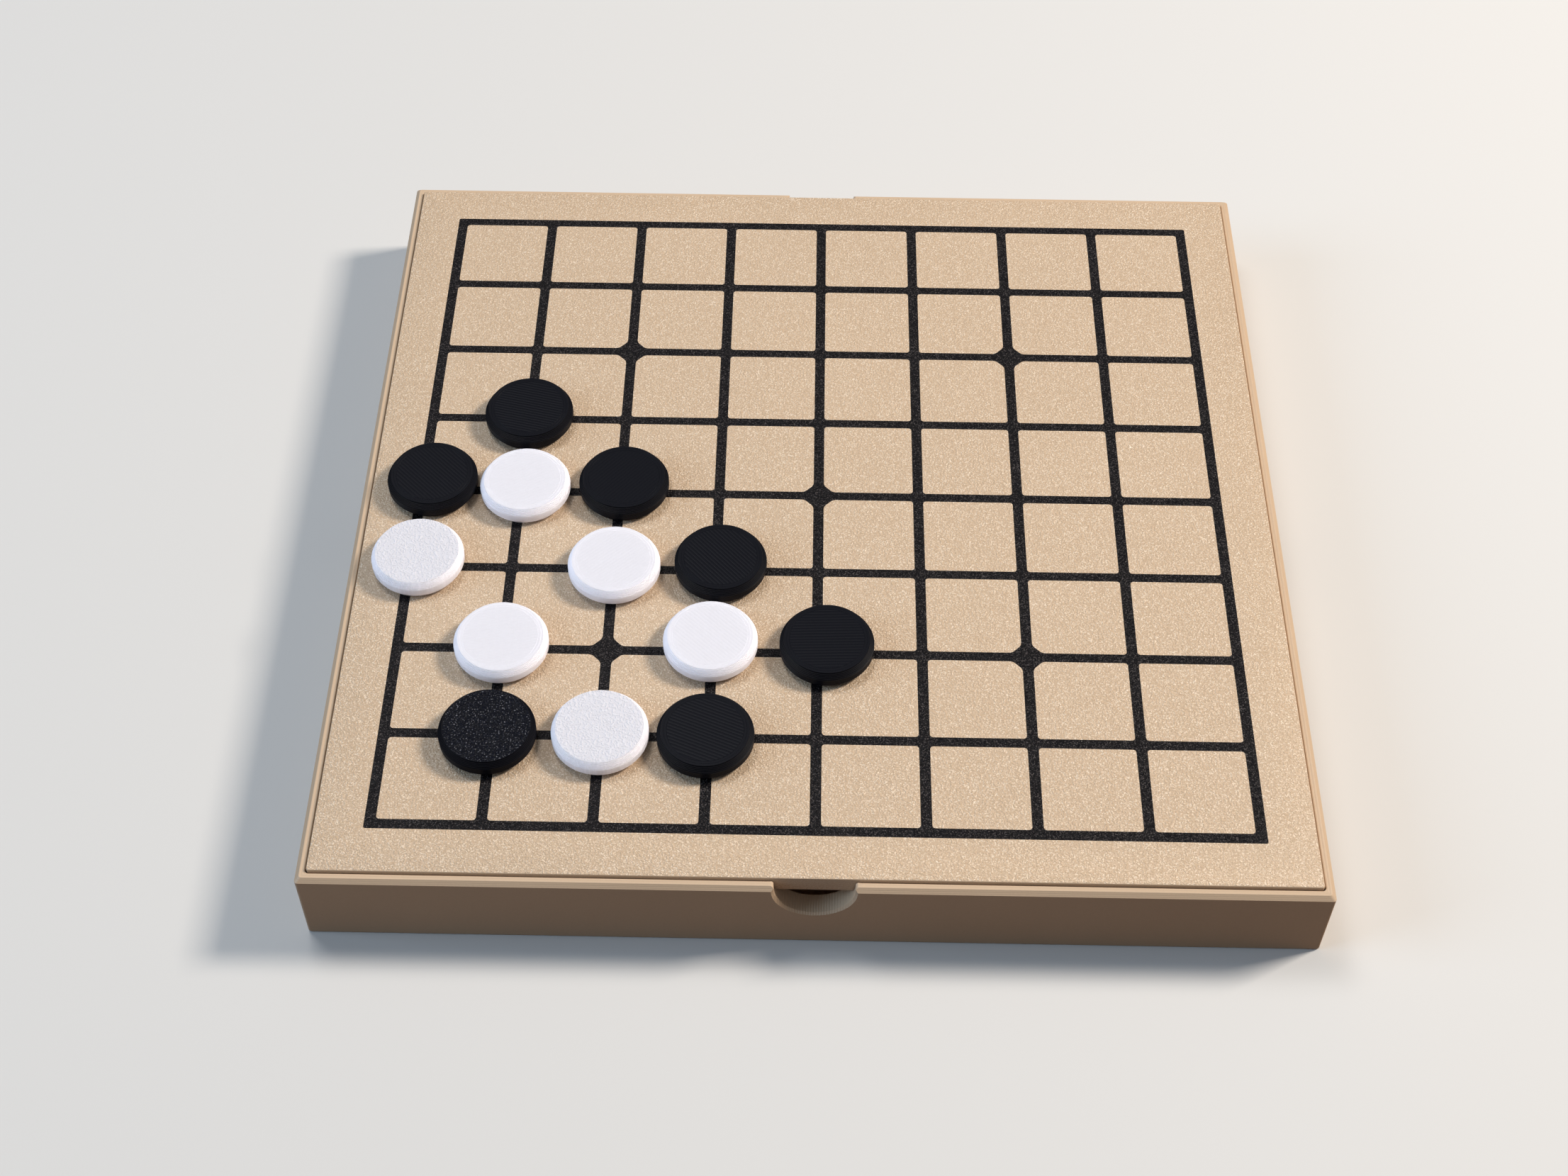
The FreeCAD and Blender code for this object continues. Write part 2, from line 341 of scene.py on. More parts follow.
front_notch = half_round_cutter("front_notch", half, case_high.z, NOTCH_DEPTH, wall + OVERRUN, NOTCH_LIP)
back_notch = copy_of(front_notch, "back_notch")
back_notch.rotation_euler.z = pi
keep_place_in_mesh(back_notch)
cut(case_shell, front_notch, back_notch)
print(f"two notches, {2 * NOTCH_RADIUS / MM:.1f} mm wide and {NOTCH_DEPTH / MM:.1f} mm deep")

# %% Break the case's edges
def reach_of(low, high):
    """How far a face or edge goes from the middle, to whichever side it goes most."""
    return max(abs(low.x), abs(low.y), abs(high.x), abs(high.y))


def round_the_recess(low, high):
    return low.z > case_high.z - HAIR and reach_of(low, high) < recess_half + HAIR


def on_ledge(low, high):
    """Edges of the well and the bays, but not the inside corner where the ledge meets the rim."""
    level = abs(low.z - plate_low.z) < HAIR and high.z - low.z < HAIR
    return level and reach_of(low, high) < recess_half - HAIR


def round_a_mouth(low, high):
    outside = min(abs(low.x), abs(high.x)) > half - HAIR
    return outside and high.y - low.y < 2 * bay + HAIR and max(abs(low.y), high.y) < bay + HAIR


for rule in (round_the_recess, on_ledge, round_a_mouth):
    soften(case_shell, rule)
smooth_small_turns(case_shell, NOTCHED_TURN)

# %% [markdown]
# ## The board
#
# The board is one sheet in two colours: the black lines are let into the tan plate, flush with its top.
# The tan cells between the lines are the simplest shapes, so they come first. A grid has a face for each
# cell. Insetting every face by half a line width leaves the lines' outlines, and bevelling the cells'
# points rounds their corners. Beside a star point the corners are cut off more deeply, which leaves the
# small diamond.

# %% The cells between the lines
CELL_CORNER = 0.5 * MM
STAR_CUT = 1.45 * MM            # how far from a cell's corner its star point is cut off
STAR_CORNER = 0.45 * MM         # and how far the two corners that this leaves are rounded
STAR_LINE = 2 * line_spacing    # star points stand two lines from the middle of the board, and in it
star_points = [Vector((x, y)) for x in (-STAR_LINE, STAR_LINE) for y in (-STAR_LINE, STAR_LINE)]
star_points.append(Vector((0, 0)))


def beside_star(low, high):
    """Whether a point of the mesh lies at a star point."""
    return any(max(abs(low.x - star.x), abs(low.y - star.y)) < 2 * LINE_WIDTH for star in star_points)


def is_cell(low, high):
    """Whether a face is the middle of an inset face, and not part of a line."""
    return min(high.x - low.x, high.y - low.y) > line_spacing - LINE_WIDTH - HAIR


deselect_all()
cells_per_side = LINES_PER_SIDE - 1
bpy.ops.mesh.primitive_grid_add(
    x_subdivisions=cells_per_side, y_subdivisions=cells_per_side, size=2 * line_reach,
    location=(0, 0, lines_low.z - OVERRUN))
cells = bpy.context.object
cells.name = "cells"
keep_place_in_mesh(cells)
pick(cells, "FACE", lambda low, high: True)
bpy.ops.mesh.inset(thickness=LINE_WIDTH / 2, use_individual=True)
pick(cells, "FACE", lambda low, high: not is_cell(low, high))
bpy.ops.mesh.delete(type="FACE")
print(len(cells.data.polygons), "faces before the lines are taken out")

pick(cells, "VERT", lambda low, high: not beside_star(low, high))
bpy.ops.mesh.bevel(offset=CELL_CORNER, segments=5, affect="VERTICES")
pick(cells, "VERT", beside_star)
bpy.ops.mesh.bevel(offset=STAR_CUT, segments=1, affect="VERTICES")
pick(cells, "VERT", beside_star)
bpy.ops.mesh.bevel(offset=STAR_CORNER, segments=3, affect="VERTICES")
pick(cells, "FACE", lambda low, high: True)
cell_height = lines_high.z - lines_low.z + 2 * OVERRUN
bpy.ops.mesh.extrude_region_move(TRANSFORM_OT_translate={"value": (0, 0, cell_height)})
bpy.ops.mesh.select_all(action="SELECT")
bpy.ops.mesh.normals_make_consistent(inside=False)
deselect_all()
print(len(cells.data.polygons), "faces on the cells when they are raised to prisms")

# %% [markdown]
# The lines are a flat slab with the cells cut out of it. The plate is a block with a rounded edge, and its
# cutter is the sheet of lines itself, made taller so that it runs out of the top. The two pieces then
# fit face to face, as they do when one print head lays them side by side. The outermost lines grow to
# both sides of their middle too, so the slab is a hair wider than the plain sheet.

# %% The sheet of black lines
SHEET_CORNER = 0.3 * MM
BOARD_TURN = 25                 # degrees, above the turns of the rounded cell corners
added_width = Vector((1, 1, 0)) * (LINE_WIDTH - PLAIN_LINE_WIDTH) / 2
board_lines = add_block("board_lines", lines_low - added_width, lines_high + added_width)
round_upright_edges(board_lines, SHEET_CORNER, segments=3)
cut(board_lines, cells)
smooth_small_turns(board_lines, BOARD_TURN)

# %% The plate
PLATE_EDGE = 0.2 * MM
board_top = add_block("board_top", plate_low, plate_high)
round_upright_edges(board_top, PLATE_CORNER)
pick(board_top, "EDGE", lambda low, high: high.z - low.z < HAIR)
bpy.ops.mesh.bevel(offset=PLATE_EDGE, segments=3, affect="EDGES")
groove_cutter = copy_of(board_lines, "groove_cutter")
pick(groove_cutter, "FACE", lambda low, high: low.z > lines_high.z - HAIR)
bpy.ops.transform.translate(value=(0, 0, OVERRUN))
deselect_all()
cut(board_top, groove_cutter)
smooth_small_turns(board_top, BOARD_TURN)

# %% [markdown]
# ## The drawers
#
# Each drawer is a shallow tray. Two tabs stand up from its rear wall and catch the lintel of the case, so
# the drawer can't be pulled right out. The block is as high as the tabs, and everything above the walls
# is cut away except them. The same half-round cutter, turned to the side, makes the finger pull. One
# drawer is modelled, and the other is its copy, turned round.

# %% One drawer and its copy
DRAWER_WALL = 1.4 * MM
DRAWER_FRONT = 3.2 * MM
DRAWER_TOP_GAP = 0.3 * MM
DRAWER_CORNER = 1.2 * MM
DRAWER_BEVEL = 0.4 * MM
PULL_DEPTH = 4.8 * MM
TAB_WIDTH = 14 * MM

tray_rear = drawer_low.x + DRAWER_WALL
tray_front = drawer_high.x - DRAWER_FRONT
tray_half = drawer_high.y - DRAWER_WALL
wall_top = lintel_bottom - DRAWER_TOP_GAP
tab_inner = drawer_high.y - TAB_WIDTH
past = drawer_high + Vector((1, 1, 1)) * OVERRUN
before = drawer_low - Vector((1, 1, 1)) * OVERRUN

right_tray = add_block("right_tray", drawer_low, drawer_high)
cut(right_tray,
    add_block("above_walls", (tray_rear, before.y, wall_top), past),
    add_block("between_tabs", (before.x, -tab_inner, wall_top), (tray_front, tab_inner, past.z)))
pick(right_tray, "EDGE", lambda low, high: low.x > drawer_high.x - HAIR)
bpy.ops.mesh.bevel(offset=DRAWER_BEVEL, segments=3, affect="EDGES")
hollow = add_block("hollow", (tray_rear, -tray_half, stored_low.z), (tray_front, tray_half, past.z))
round_upright_edges(hollow, DRAWER_CORNER)
pull = half_round_cutter("pull", drawer_high.x, wall_top, PULL_DEPTH, DRAWER_FRONT + OVERRUN)
pull.rotation_euler.z = radians(90)
keep_place_in_mesh(pull)
cut(right_tray, hollow, pull)
smooth_small_turns(right_tray, NOTCHED_TURN)

left_tray = copy_of(right_tray, "left_tray")
left_tray.rotation_euler.z = pi
keep_place_in_mesh(left_tray)

# %% [markdown]
# ## The stones
#
# A stone is a flat disc, bevelled above and below, printed in thin layers. It grows like the rim of the
# case: a round face is extruded and resized for the belly of each layer and again for the groove between
# two layers. The bevels come out as the fine rings that can be seen and felt on a real one. One face of a
# stone lay on the grained print bed, and the other was printed last and shows the nozzle's track, so there
# are two masters, one for each face.

# %% [markdown]
# The pattern on a stone's face has to turn and move with the stone. A UV map does that: each point of the
# mesh remembers where it was on the stone, in millimetres from its middle, wherever the stone goes later.

# %% A map of each stone in millimetres
def map_from_above(piece):
    """Write each corner's place, seen from above, to the piece's UV map."""
    deselect_all()
    mesh = piece.data
    while mesh.uv_layers:
        mesh.uv_layers.remove(mesh.uv_layers[0])
    layer = mesh.uv_layers.new(name="from_above")
    for loop in mesh.loops:
        layer.data[loop.index].uv = mesh.vertices[loop.vertex_index].co.xy / MM


# %% Grow a stone
STONE_BEVEL_WIDTH = 0.7 * MM
STONE_BEVEL_HEIGHT = 1.05 * MM
LAYER = 0.2 * MM
LAYER_GROOVE = 0.04 * MM
BEAD = 0.42 * MM                # width of one printed line
BEAD_GROOVE = 0.05 * MM
STONE_TURN = 30                 # degrees, above the turns between the sides of a stone
stone_radius = (stone_high.x - stone_low.x) / 2
stone_thickness = stone_high.z - stone_low.z


def radius_at(height):
    """Radius of a stone at a height above its underside."""
    from_end = min(height, stone_thickness - height)
    share = min(1, from_end / STONE_BEVEL_HEIGHT)
    return stone_radius - STONE_BEVEL_WIDTH * (1 - share)


def grow_stone(name, sides, perimeters):
    """A stone with its underside's middle at the origin, and rings of printed line round its top face."""
    layers = round(stone_thickness / LAYER)
    bellies = [radius_at((layer + 0.5) * LAYER) for layer in range(layers)]
    grooves = [min(pair) - LAYER_GROOVE for pair in zip(bellies, bellies[1:] + bellies[-1:])]
    radius = bellies[0] - LAYER_GROOVE
    deselect_all()
    bpy.ops.mesh.primitive_circle_add(vertices=sides, radius=radius, fill_type="NGON")
    stone = bpy.context.object
    stone.name = name
    pick(stone, "FACE", lambda low, high: True)
    for belly, groove in zip(bellies, grooves):
        radius = raise_face(LAYER / 4, radius - belly, radius)
        radius = raise_face(LAYER / 2, 0, radius)
        radius = raise_face(LAYER / 4, radius - groove, radius)
    for ring in range(perimeters):
        bpy.ops.mesh.inset(thickness=BEAD - BEAD_GROOVE)
        bpy.ops.mesh.inset(thickness=BEAD_GROOVE / 2, depth=-BEAD_GROOVE / 2)
        bpy.ops.mesh.inset(thickness=BEAD_GROOVE / 2, depth=BEAD_GROOVE / 2)
    bpy.ops.mesh.select_all(action="SELECT")
    bpy.ops.mesh.normals_make_consistent(inside=False)
    map_from_above(stone)
    smooth_small_turns(stone, STONE_TURN)
    return stone


grained_stone = grow_stone("grained_stone", ROUND, perimeters=0)
lined_stone = grow_stone("lined_stone", ROUND, perimeters=2)

# %% [markdown]
# A hand never puts a stone quite straight, so each copy is turned by its own chance amount. The seed is
# fixed, so the chance is the same on every run. Turning happens round the stone's own middle, then the
# copy moves to the place of its plain stone.

# %% The thirteen stones in play
GRAIN_UP = ("black_stone_6", "white_stone_2", "white_stone_6")
FIXED_TURN = {"black_stone_7": radians(-22.6)}
random.seed(9)


def place_stone(master, name, middle, turn):
    stone = copy_of(master, name)
    stone.location = middle
    stone.rotation_euler.z = turn
    keep_place_in_mesh(stone)
    return stone


def foot_of(node):
    """The middle of a stone's underside."""
    low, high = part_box(node)
    return Vector(((low.x + high.x) / 2, (low.y + high.y) / 2, low.z))


stones_in_play = {}
for node in sorted(frame["nodes"]):
    if node.startswith(("black_stone_", "white_stone_")):
        master = grained_stone if node in GRAIN_UP else lined_stone
        turn = FIXED_TURN.get(node, random.uniform(0, 2 * pi))
        stone = place_stone(master, "printed_" + node, foot_of(node), turn)
        stones_in_play[node] = stone
print(len(stones_in_play), "stones on the board")

# %% [markdown]
# The stones put away in the drawers are one plain group each. Splitting a copy of the group into its loose
# parts tells where every stone lies. There are many of them, so their masters have fewer flats round them.
# All the stones of one drawer are joined into one object, because they move together.

# %% The stones in the drawers
STORED_ROUND = 40
STORED_SHIFT = 0.15 * MM
grained_small = grow_stone("grained_small", STORED_ROUND, perimeters=0)
lined_small = grow_stone("lined_small", STORED_ROUND, perimeters=1)


def feet_of_group(node):
    """The middle of each stone's underside in a plain group."""
    group = copy_of(frame["nodes"][node], "split_group")
    pick(group, "VERT", lambda low, high: True)
    bpy.ops.mesh.remove_doubles(threshold=HAIR)
    bpy.ops.mesh.separate(type="LOOSE")
    deselect_all()
    parts = [o for o in bpy.context.scene.objects if o.name.startswith("split_group")]
    feet = []
    for part in parts:
        corners = [vertex.co for vertex in part.data.vertices]
        low, high = Vector(map(min, *corners)), Vector(map(max, *corners))
        feet.append(Vector(((low.x + high.x) / 2, (low.y + high.y) / 2, low.z)))
        bpy.data.objects.remove(part)
    return sorted(feet, key=lambda foot: (round(foot.x / MM), round(foot.y / MM)))


def fill_drawer(node, name):
    stones = []
    for foot in feet_of_group(node):
        shift = Vector((random.uniform(-1, 1), random.uniform(-1, 1), 0)) * STORED_SHIFT
        master = random.choice((grained_small, lined_small))
        stones.append(place_stone(master, name, foot + shift, random.uniform(0, 2 * pi)))
    take(stones[0])
    for stone in stones:
        stone.select_set(True)
    bpy.ops.object.join()
    stored = bpy.context.object
    stored.name = name
    print(name, "holds", len(stones), "stones")
    return stored


stored_black = fill_drawer("black_stones_in_right_drawer", "stored_black_stones")
stored_white = fill_drawer("white_stones_in_left_drawer", "stored_white_stones")
for master in (grained_stone, lined_stone, grained_small, lined_small):
    bpy.data.objects.remove(master)

# %% [markdown]
# ## Finishes
#
# A finish is a small network of nodes that ends in one shader. Writing it is easier with a few helpers: one
# adds a node and wires its inputs, one does sums, and the others mix numbers or colours and read noise. An
# input may be a number, a colour or another node's output, and the helper tells which.

# %% Helpers for finishes
def wire(tree, value, socket):
    """Give an input a number, a colour or another node's output."""
    if isinstance(value, bpy.types.NodeSocket):
        tree.links.new(value, socket)
    else:
        socket.default_value = value


def add_node(tree, kind, inputs, **settings):
    node = tree.nodes.new("ShaderNode" + kind)
    for name, value in settings.items():
        setattr(node, name, value)
    for name, value in inputs.items():
        wire(tree, value, node.inputs[name])
    return node


def maths(tree, operation, *values):
    node = tree.nodes.new("ShaderNodeMath")
    node.operation = operation
    for value, socket in zip(values, node.inputs):
        wire(tree, value, socket)
    return node.outputs[0]


def blend(tree, share, first, second):
    """The first value where the share is 0, and the second where it is 1."""
    node = add_node(tree, "Mix", {"Factor": share, "A": first, "B": second}, data_type="FLOAT")
    return node.outputs["Result"]


def mix_colours(tree, share, first, second):
    """The same for colours, whose sockets in a Mix node have no names of their own and are counted."""
    node = add_node(tree, "Mix", {"Factor": share, 6: first, 7: second}, data_type="RGBA")
    return node.outputs[2]


def noise(tree, place, size, detail):
    """Soft noise from 0 to 1, with blobs of about this size. Detail adds finer noise to it."""
    return add_node(tree, "TexNoise", {"Vector": place, "Scale": 1 / size, "Detail": detail}).outputs["Fac"]


# %% [markdown]
# Three patterns make printed plastic. All of them are heights in millimetres, ready for a Bump node:
#
# - a wall shows its layers, one rounded belly above the other;
# - a face that the nozzle drew shows its track, as rows of beads side by side;
# - a face that lay on the print bed has the bed's grain, short soft wrinkles a third of a millimetre wide.
#
# Noise alone makes round blobs. Reading it at places that a wider noise has pushed about draws the blobs out
# into wrinkles.

# %% The three patterns of a printed face
BED_GRAIN = 0.30 * MM           # width of a wrinkle
BEND_SIZE = BED_GRAIN / 0.7     # size of the wider noise that bends the wrinkles
BEND = 0.6 * BED_GRAIN          # and how far it pushes them
FINE_GRAIN = BED_GRAIN / 2.6
PITCH_OF_WALL = 0.2 * MM        # height of a printed layer
ROW = 0.45 * MM                 # width of one line of the nozzle's track
TRACK_HEIGHT = 0.03
TRACK_ANGLE = 45


def beads(tree, place, pitch, height):
    """Rounded rows along one direction: place is the distance across them, in metres."""
    turns = maths(tree, "MULTIPLY", place, pi / pitch)
    wave = maths(tree, "ABSOLUTE", maths(tree, "SINE", turns))
    return maths(tree, "MULTIPLY", maths(tree, "POWER", wave, 0.6), height)


def nozzle_track(tree, x, y):
    """Rows at an angle to the X axis, on a face that the nozzle filled."""
    along_x = maths(tree, "MULTIPLY", x, -sin(radians(TRACK_ANGLE)))
    along_y = maths(tree, "MULTIPLY", y, cos(radians(TRACK_ANGLE)))
    return beads(tree, maths(tree, "ADD", along_x, along_y), ROW, TRACK_HEIGHT)


def patches(tree, place, size, low, high):
    """Noise with its middle greys stretched: 0 below low, 1 above high."""
    steps = add_node(tree, "MapRange", {
        "Value": noise(tree, place, size, 0.0), "From Min": low, "From Max": high},
        interpolation_type="SMOOTHSTEP")
    return steps.outputs["Result"]


def bed_grain(tree, place, height, fine_share=1.0):
    """Wrinkles of a textured bed. Returns their height, their crests as 0 to 1, and the places as pushed."""
    wide = add_node(tree, "TexNoise", {"Vector": place, "Scale": 1 / BEND_SIZE, "Detail": 0.0})
    push = add_node(tree, "VectorMath", {0: wide.outputs["Color"], "Scale": BEND}, operation="SCALE")
    pushed = add_node(tree, "VectorMath", {0: place, 1: push.outputs["Vector"]}, operation="ADD")
    crest = patches(tree, pushed.outputs["Vector"], BED_GRAIN, 0.42, 0.70)
    fine = noise(tree, place, FINE_GRAIN, 1.0)
    whole = maths(tree, "ADD", maths(tree, "MULTIPLY", crest, height),
                  maths(tree, "MULTIPLY", fine, height * fine_share))
    return whole, crest, pushed.outputs["Vector"]


# %% [markdown]
# Which pattern a point shows depends on which way its face looks: up, down or sideways. The upright part
# of the surface normal tells that. Colour and gloss get small changes too, because plastic is never quite
# even. The wide cloud of noise stands for slight changes in the filament.

# %% Facing and cloudiness
NEARLY_LEVEL = 0.9
A_LITTLE_UP = 0.2


def upright_part(tree):
    """How far a face looks up: 1 straight up, 0 sideways, and -1 straight down."""
    geometry = tree.nodes.new("ShaderNodeNewGeometry")
    return add_node(tree, "SeparateXYZ", {"Vector": geometry.outputs["Normal"]}).outputs["Z"]


def facing(tree):
    """1 where a face looks up, and 1 where it looks down."""
    up = upright_part(tree)
    return maths(tree, "GREATER_THAN", up, NEARLY_LEVEL), maths(tree, "LESS_THAN", up, -NEARLY_LEVEL)


def rising(tree):
    """1 where a face looks at least a little upwards."""
    return maths(tree, "GREATER_THAN", upright_part(tree), A_LITTLE_UP)


def new_finish(name):
    finish = bpy.data.materials.new(name)
    finish.use_nodes = True
    tree = finish.node_tree
    return finish, tree, tree.nodes["Principled BSDF"]


def shaded(tree, colour, amount, change):
    """A colour, made darker by a share where amount is 0 and lighter by it where amount is 1."""
    scale = add_node(tree, "MapRange", {"Value": amount, "To Min": 1 - change, "To Max": 1 + change})
    scaled = add_node(tree, "VectorMath", {0: colour, "Scale": scale.outputs["Result"]}, operation="SCALE")
    return scaled.outputs["Vector"]


def paint_highlights(tree, colour, spot_colour, share):
    """Paint highlights: spots of another colour over a colour, where the share is more than 0."""
    return mix_colours(tree, share, colour, (*spot_colour, 1))


def cloud(tree, place, size):
    """Ragged noise, for changes that have no edge."""
    return noise(tree, place, size, 3.0)


def bumped(tree, height):
    """A surface normal tilted by a height in millimetres."""
    return add_node(tree, "Bump", {"Height": height, "Distance": MM}).outputs["Normal"]


def between(tree, amount, at_0, at_1):
    """A number that goes from one value to another as amount goes from 0 to 1."""
    return add_node(tree, "MapRange", {"Value": amount, "To Min": at_0, "To Max": at_1}).outputs["Result"]


# %% [markdown]
# The case and the drawers are tan plastic as the nozzle left it. Their walls show layers, their level
# faces show the track at 45 degrees, and the top of the rim shows two beads that follow the rim round.
# The underside lay on the bed and has its grain.

# %% Tan plastic of the case and the drawers
TAN = (0.645, 0.472, 0.322)
WALL_LAYER_HEIGHT = 0.008
RIM_ROW = 0.39 * MM
NOTCH_ROW = 0.38 * MM
NOTCH_ROW_HEIGHT = 0.045
BED_HEIGHT = 0.03               # of the grain under the case and the drawers
SPECK = 0.25 * MM
SPECK_HEIGHT = 0.006
WIDE_CLOUD = 20 * MM
GLOSS_CLOUD = 8 * MM


def nozzle_finish(name, over_notch, out_of_notch, inner_face, rim=None):
    """Tan plastic as printed. Rows run along the hollow of the notches, which lie beyond inner_face.

    With rim, level faces at that height and above show beads along the walls.
    """
    finish, tree, shader = new_finish(name)
    place = tree.nodes.new("ShaderNodeTexCoord").outputs["Object"]
    parts = add_node(tree, "SeparateXYZ", {"Vector": place})
    x, y, z = (parts.outputs[axis] for axis in "XYZ")
    upward, downward = facing(tree)
    level = nozzle_track(tree, x, y)
    if rim:
        farther = maths(tree, "MAXIMUM", maths(tree, "ABSOLUTE", x), maths(tree, "ABSOLUTE", y))
        round_rim = beads(tree, maths(tree, "SUBTRACT", farther, recess_half), RIM_ROW, TRACK_HEIGHT)
        level = blend(tree, maths(tree, "GREATER_THAN", z, rim), level, round_rim)
    grain = bed_grain(tree, place, BED_HEIGHT)[0]
    height = blend(tree, upward, beads(tree, z, PITCH_OF_WALL, WALL_LAYER_HEIGHT), level)
    height = blend(tree, downward, height, grain)

    hollow = beads(tree, parts.outputs[over_notch], NOTCH_ROW, NOTCH_ROW_HEIGHT)
    near = maths(tree, "LESS_THAN", maths(tree, "ABSOLUTE", parts.outputs[over_notch]), NOTCH_RADIUS)
    beyond = maths(tree, "GREATER_THAN", maths(tree, "ABSOLUTE", parts.outputs[out_of_notch]), inner_face)
    in_notch = maths(tree, "MULTIPLY", maths(tree, "MULTIPLY", near, beyond), rising(tree))
    height = blend(tree, in_notch, height, hollow)

    speck = noise(tree, place, SPECK, 1.0)
    height = maths(tree, "ADD", height, maths(tree, "MULTIPLY", speck, SPECK_HEIGHT))
    tone = shaded(tree, TAN, cloud(tree, place, WIDE_CLOUD), 0.05)
    wire(tree, shaded(tree, tone, speck, 0.04), shader.inputs["Base Color"])
    wire(tree, between(tree, cloud(tree, place, GLOSS_CLOUD), 0.42, 0.56), shader.inputs["Roughness"])
    wire(tree, bumped(tree, height), shader.inputs["Normal"])
    return finish


case_plastic = nozzle_finish("tan_case_plastic", "X", "Y", bay, rim=case_high.z - PITCH_OF_WALL)
drawer_plastic = nozzle_finish("tan_drawer_plastic", "Y", "X", tray_front)
print(case_plastic.name, "has", len(case_plastic.node_tree.nodes), "nodes")

# %% [markdown]
# The board was printed face down, so its top is the face that lay on the bed. The grain covers plate and
# lines alike. Its crests are a little smoother than its hollows. They are also painted a little lighter than
# the hollows, as painted shade, and small paler spots on them are painted highlights, a painted fine
# sparkle. On the black lines the painted highlights are all that shows, and they are farther apart.

# %% Grained plastic of the board
BLACK = (0.007, 0.006, 0.007)
# Colours of the glints painted on the tan board and on the black lines, as painted highlights.
PAINTED_TAN_GLINT = (0.88, 0.72, 0.56)   # colour of a glinting spot on tan plastic
PAINTED_LINE_GLINT = (0.075, 0.065, 0.065)
GLINT = 0.6 * BED_GRAIN         # size of a glinting spot
BOARD_GRAIN_HEIGHT = 0.058
BOARD_LAYER_HEIGHT = 0.012
BOARD_CLOUD = 25 * MM


def bed_finish(name, colour, painted_glint_colour, sparse, rough, specular):
    """Printed plastic with the grained face up and the nozzle's track below. Sparse thins the painted glints
    out.
    """
    finish, tree, shader = new_finish(name)
    place = tree.nodes.new("ShaderNodeTexCoord").outputs["Object"]
    parts = add_node(tree, "SeparateXYZ", {"Vector": place})
    x, y, z = (parts.outputs[axis] for axis in "XYZ")
    upward, downward = facing(tree)
    grain, crest, pushed = bed_grain(tree, place, BOARD_GRAIN_HEIGHT)
    height = blend(tree, upward, beads(tree, z, PITCH_OF_WALL, BOARD_LAYER_HEIGHT), grain)
    height = blend(tree, downward, height, nozzle_track(tree, x, y))
    tone = shaded(tree, colour, cloud(tree, place, BOARD_CLOUD), 0.04)
    # Painted shade and highlight: crests of the grain painted a little lighter, hollows darker, and paler
    # spots on the crests painted as glints.
    tone = shaded(tree, tone, crest, 0.03)
    glint = maths(tree, "POWER", patches(tree, pushed, GLINT, 0.55, 0.72), sparse)
    tone = paint_highlights(tree, tone, painted_glint_colour, maths(tree, "MULTIPLY", glint, upward))
    wire(tree, tone, shader.inputs["Base Color"])
    wire(tree, between(tree, crest, rough + 0.12, rough), shader.inputs["Roughness"])
    wire(tree, bumped(tree, height), shader.inputs["Normal"])
    shader.inputs["Specular IOR Level"].default_value = specular
    return finish


board_plastic = bed_finish("tan_board_plastic", TAN, PAINTED_TAN_GLINT, sparse=1, rough=0.18, specular=0.5)
line_plastic = bed_finish("black_line_plastic", BLACK, PAINTED_LINE_GLINT, sparse=3, rough=0.16, specular=0.14)
print(board_plastic.name, "has", len(board_plastic.node_tree.nodes), "nodes")

# %% [markdown]
# The stones use the same patterns, but read them from their own map, so that the rows on each stone run
# their own way. The rows fill the middle of the face, and the rings round it are in the mesh. On grained
# faces the crests are painted a little lighter than the hollows, as painted shade, and the grained black
# stones get glints painted on as bright spots, some brighter than others. White plastic lets light in at
# one side and out at another, which is subsurface scattering. It shows most on the sides.

# %% Plastic of the stones
WHITE = (0.82, 0.81, 0.88)
STONE_BLACK = (0.003, 0.0035, 0.007)
# Painted light on the grained black stones: a lighter colour painted on the crests, and bright spots painted
# on as glints.
CREST_PAINTED_LIGHTER = (0.005, 0.006, 0.012)
PAINTED_GLINT = (0.23, 0.23, 0.26)
SPOT = 0.23 * MM
GLINT_PATCH = 3.5 * SPOT       # size of a place where the spots are brighter
STONE_GRAIN_HEIGHT = 0.07
STONE_ROW = 0.53 * MM
STONE_ROW_HEIGHT = 0.022
LINED_CLOUD = 0.3 * MM
FINE_CLOUD = 0.2 * MM
FINE_HEIGHT = 0.006
SIDE_ROUGHNESS = 0.42
LIGHT_REACH = 3.0 * MM          # how far light runs inside white plastic
face_edge = stone_radius - STONE_BEVEL_WIDTH


def paint_stone_glints(tree, colour, crest, flat, level):
    """Painted light on the level faces of a black stone: crests painted lighter, and glints painted as
    bright spots.
    """
    tone = paint_highlights(tree, colour, CREST_PAINTED_LIGHTER, maths(tree, "MULTIPLY", crest, level))
    spots = maths(tree, "MULTIPLY", patches(tree, flat, SPOT, 0.60, 0.84), level)
    glint_strength = blend(tree, patches(tree, flat, GLINT_PATCH, 0.40, 0.66), 0.3, 1.0)
    return paint_highlights(tree, tone, PAINTED_GLINT, maths(tree, "MULTIPLY", spots, glint_strength))


def let_light_in(tree, shader, level):
    """Subsurface scattering, strong on the sides and faint on the level faces."""
    shader.subsurface_method = "BURLEY"
    wire(tree, blend(tree, level, 0.9, 0.15), shader.inputs["Subsurface Weight"])
    shader.inputs["Subsurface Scale"].default_value = LIGHT_REACH
    shader.inputs["Subsurface Radius"].default_value = (1.0, 1.0, 1.0)


